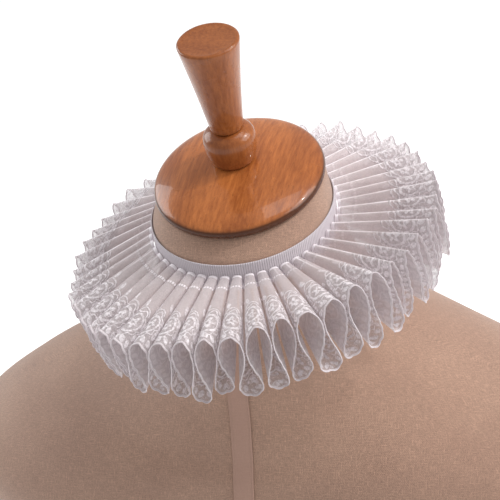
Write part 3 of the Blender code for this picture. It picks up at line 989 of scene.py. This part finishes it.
sprays = [filled(sewn, from_oval(sewn, across_spray, inwards, **leaf)) for leaf in spray_leaves]
edge_leaves = filled(sewn, from_oval(sewn, across_leaf, inwards, **edge_leaf))
arch = outlined(sewn, from_oval(sewn, across_flower, inwards, **arch_oval), 0.95, 0.12)
arches = times(sewn, arch, ranged(sewn, inwards, 26.0, 27.5))
buds = filled(sewn, from_oval(sewn, across_bud, inwards, **bud), 1.0, 0.3)

scroll_axes = {0: along, 1: inwards, 2: sewn_in["Scroll start"]}
scroll_place = add(sewn, "CombineXYZ", sockets=scroll_axes).outputs[0]
scroll_wave = maths(sewn, "SINE", times(sewn, noise(sewn, scroll_place, scroll_scale, 1.0), scroll_turns))
scrolls = ranged(sewn, apart(sewn, scroll_wave), 0.60, 0.95, 0.0, 0.55)
belt = ranged(sewn, inwards, belt_thins, belt_ends, 1.0, 0.0)
motifs = either(sewn, flower_ring, petals, outer_petals, *sprays, edge_leaves, arches)
join(sewn, either(sewn, motifs, times(sewn, scrolls, belt), times(sewn, belt, 0.14)), sewn_out["Stitched"])
join(sewn, buds, sewn_out["Buds"])
join(sewn, belt, sewn_out["Belt"])


def in_millimetres(tree, uv_map):
    """The two lengths of a UV map in metres, in millimetres."""
    scaled = {0: laid_flat(tree, uv_map), "Scale": 1000.0}
    return axes_of(tree, add(tree, "VectorMath", {"operation": "SCALE"}, scaled).outputs[0])


def three_noises(tree, vector, scale, detail):
    sockets = {"Vector": vector, "Scale": scale, "Detail": detail}
    return axes_of(tree, add(tree, "TexNoise", sockets=sockets).outputs["Color"])


lace, lace_nodes, lace_shader = finish_of("sheer_embroidered_lace")
lace_place = place_on(lace_nodes)
edge_axes = in_millimetres(lace_nodes, "free_edge")
head_axes = in_millimetres(lace_nodes, "heading")
drift_axes = three_noises(lace_nodes, lace_place, 22.0, 1.0)
wobble_axes = three_noises(lace_nodes, lace_place, 210.0, 2.0)


def shifted(axis, far, near):
    """A length in millimetres, drifting slowly along the strip and wobbling stitch by stitch."""
    slow = maths(lace_nodes, "MULTIPLY_ADD", drift_axes[axis], far, -0.5 * (far + near))
    both = maths(lace_nodes, "MULTIPLY_ADD", wobble_axes[axis], near, slow)
    return maths(lace_nodes, "ADD", edge_axes[axis], both)


sewn_along, sewn_inwards = shifted(0, far=18.0, near=2.4), shifted(1, far=4.0, near=1.8)
scroll_start = times(lace_nodes, drift_axes[2], 9.0)
needlework = {"Along": sewn_along, "In": sewn_inwards, "Scroll start": scroll_start}
needlework = place(lace_nodes, sewn, needlework)
satin_run = noise(lace_nodes, lace_place, 620.0, 3.0, 0.65)
broken = ranged(lace_nodes, satin_run, 0.36, 0.57, 0.42, 1.0)
# Painted shade: on the strip's back faces, the loops' insides, the embroidery shows at three tenths of its
# strength.
wrong_side = add(lace_nodes, "NewGeometry").outputs["Backfacing"]
unshaded_embroidery_share = ranged(lace_nodes, wrong_side, 0.0, 1.0, 1.0, 0.30)

# Where the pleats are pressed shut their ridges are sharp, and a thin line of bright thread colour along
# each crest is painted highlight; the pressing hides most of the buds and of the chain stitches.
open_way = (math.cos(open_side), math.sin(open_side), 0.0)
crest_inner, crest_outer = 0.35, 0.9
towards_open = {0: lace_place, 1: open_way}
towards_open = add(lace_nodes, "VectorMath", {"operation": "DOT_PRODUCT"}, towards_open)
pressed_side = ranged(lace_nodes, towards_open.outputs["Value"], 0.05, 0.08, 1.0, 0.0)
lace_patches = place(lace_nodes, mottle, {"Vector": lace_place, "Patches per metre": 70.0})
crest_line = line_at(lace_nodes, edge_axes[0], 0.0, crest_inner, crest_outer)
crest_light = ranged(lace_nodes, lace_patches["Share"], 0.0, 1.0, 0.5, 1.0)
crest_highlight = times(lace_nodes, times(lace_nodes, crest_line, pressed_side), crest_light)
plain_share = maths(lace_nodes, "MULTIPLY_ADD", pressed_side, -0.7, 1.0)
buds = times(lace_nodes, needlework["Buds"], plain_share)
embroidered = times(lace_nodes, either(lace_nodes, needlework["Stitched"], buds), broken)
embroidered = times(lace_nodes, embroidered, unshaded_embroidery_share)

# The free edge and the gathered edge are satin-stitched. A line of bright chain stitches 12 mm
# out from the band holds the pleats.
chain_out, chain_stitch = 12.0, 1.9
chain_inner, chain_outer = 0.6, 1.2
edge_satin = ranged(lace_nodes, edge_axes[1], 0.9, 1.6, 0.8, 0.0)
head_satin = ranged(lace_nodes, head_axes[1], 1.8, 2.6, 1.0, 0.0)
chain = line_at(lace_nodes, head_axes[1], chain_out, chain_inner, chain_outer)
chain_gap = maths(lace_nodes, "FRACT", maths(lace_nodes, "DIVIDE", head_axes[0], chain_stitch))
chain = times(lace_nodes, chain, ranged(lace_nodes, chain_gap, 0.6, 0.75, 1.0, 0.2))
chain = times(lace_nodes, chain, plain_share)
stitched = either(lace_nodes, embroidered, edge_satin, head_satin, chain)
# The threads together with the painted highlight on the crests: bright in colour and denser in cover.
threads_and_crest_highlight = either(lace_nodes, stitched, crest_highlight)

net_dark, net_light = (0.735, 0.652, 0.660, 1.0), (0.805, 0.722, 0.735, 1.0)
belt_shade_colour = (0.420, 0.355, 0.370, 1.0)
thread_colour = (0.960, 0.900, 0.935, 1.0)
holes_per_metre, net_covers, threads_cover = 1400.0, (0.44, 0.58), (0.48, 0.95)
net_roughness, thread_roughness = 0.62, 0.38
net_tone = mixed(lace_nodes, lace_patches["Share"], net_dark, net_light)
# Painted shade: the net ground in the embroidered belt is darkened between the stitched motifs.
between = times(lace_nodes, needlework["Belt"], 0.46)
net_tone = mixed(lace_nodes, between, net_tone, belt_shade_colour)
lace_colour = mixed(lace_nodes, threads_and_crest_highlight, net_tone, thread_colour)
lace_rough = ranged(lace_nodes, stitched, 0.0, 1.0, net_roughness, thread_roughness)
tint(lace_nodes, lace_shader, lace_colour, lace_rough)
net_holes = noise(lace_nodes, lace_place, holes_per_metre, 1.0)
net_cover = ranged(lace_nodes, net_holes, 0.3, 0.7, *net_covers)
stitched_cover = ranged(lace_nodes, threads_and_crest_highlight, 0.0, 1.0, *threads_cover)
join(lace_nodes, either(lace_nodes, net_cover, stitched_cover), lace_shader.inputs["Alpha"])
raise_relief(lace_nodes, lace_shader, stitched, strength=0.9, distance=0.0006)
lace_shader.inputs["Sheen Weight"].default_value = 0.15
lace_shader.inputs["Sheen Roughness"].default_value = 0.4
lace_ruffle.data.materials.append(lace)
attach(lace_ruffle, "root")
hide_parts("ruffle")

# Edge cord: a thin cord of white thread, worked over the strip's free edge in satin stitch. It
# follows the small scallops and keeps the edge of each pleat round.
cord_radius = 0.00042
cord_lines = 6
edge_reach = reach[-1]
cord_across, cord_face = strip_frame(wave, edge_reach)
cord_middle = strip_point(wave, edge_reach)
cord_rows = np.stack(
    [
        cord_middle + cord_radius * (math.cos(angle) * cord_across + math.sin(angle) * cord_face)
        for angle in np.linspace(0.0, 2.0 * math.pi, cord_lines)
    ]
)
edge_cord = surface("edge_cord", cord_rows)
satin_dark, satin_light = (0.600, 0.535, 0.560, 1.0), (0.780, 0.715, 0.745, 1.0)
satin, satin_nodes, satin_shader = finish_of("satin_stitched_cord")
satin_wraps = noise(satin_nodes, place_on(satin_nodes), 1100.0, 2.0)
satin_colour = ranged(satin_nodes, satin_wraps, 0.35, 0.65)
satin_colour = mixed(satin_nodes, satin_colour, satin_dark, satin_light)
satin_rough = ranged(satin_nodes, satin_wraps, 0.0, 1.0, 0.38, 0.5)
tint(satin_nodes, satin_shader, satin_colour, satin_rough)
raise_relief(satin_nodes, satin_shader, satin_wraps, strength=0.5, distance=0.0003)
satin_shader.inputs["Sheen Weight"].default_value = 0.2
edge_cord.data.materials.append(satin)
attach(edge_cord, "root")
